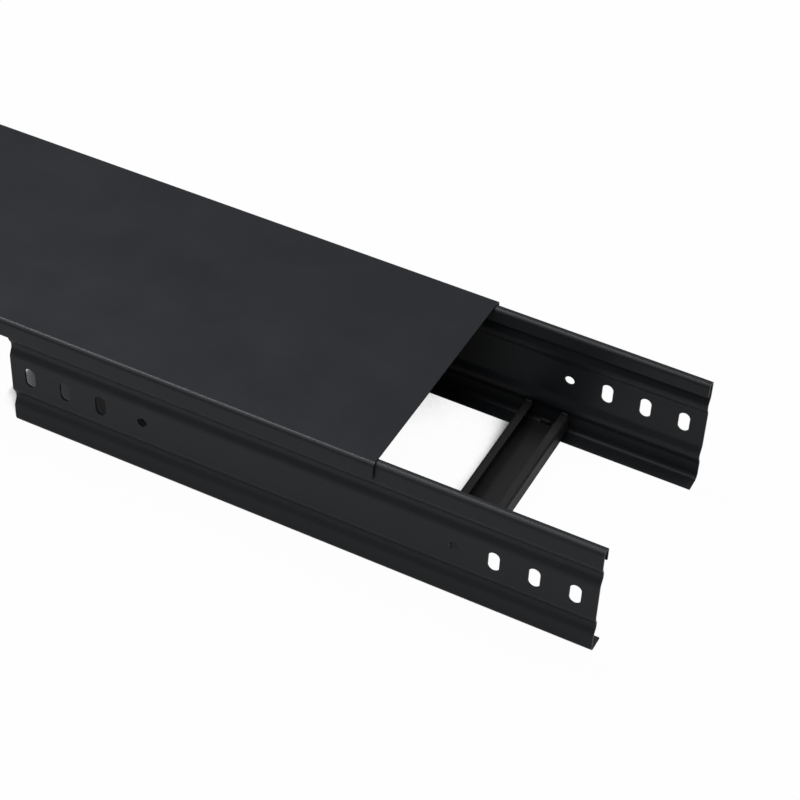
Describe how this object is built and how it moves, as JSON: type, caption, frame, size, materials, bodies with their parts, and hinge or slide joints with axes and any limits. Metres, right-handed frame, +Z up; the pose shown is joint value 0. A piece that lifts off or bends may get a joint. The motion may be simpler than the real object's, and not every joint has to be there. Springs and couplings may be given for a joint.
{
  "type": "cable ladder section",
  "caption": "Straight cable ladder section of black painted sheet steel: two beaded side rails joined by lipped channel rungs, with a sheet cover that slides along the rails.",
  "frame": {"origin": "middle of the whole part's footprint, cover included, on the level of the rails' undersides", "axes": "+X along the rails towards the end that the cover leaves open, +Y from the front rail to the back rail, +Z up"},
  "size_m": [0.654, 0.2042, 0.1012],
  "materials": {
    "rail_paint": "satin black powder coat on sheet steel",
    "rung_paint": "satin black powder coat on sheet steel",
    "cover_paint": "satin black powder coat on sheet steel"
  },
  "bodies": {
    "ladder": {"side_rail_front": "rail_paint", "side_rail_back": "rail_paint", "rung_1": "rung_paint", "rung_2": "rung_paint"},
    "cover": {"cover": "cover_paint"}
  },
  "joints": [
    {"name": "cover_slide", "type": "slide", "parent": "ladder", "child": "cover", "axis": [1, 0, 0], "range_m": [-0.06, 0.174]}
  ]
}
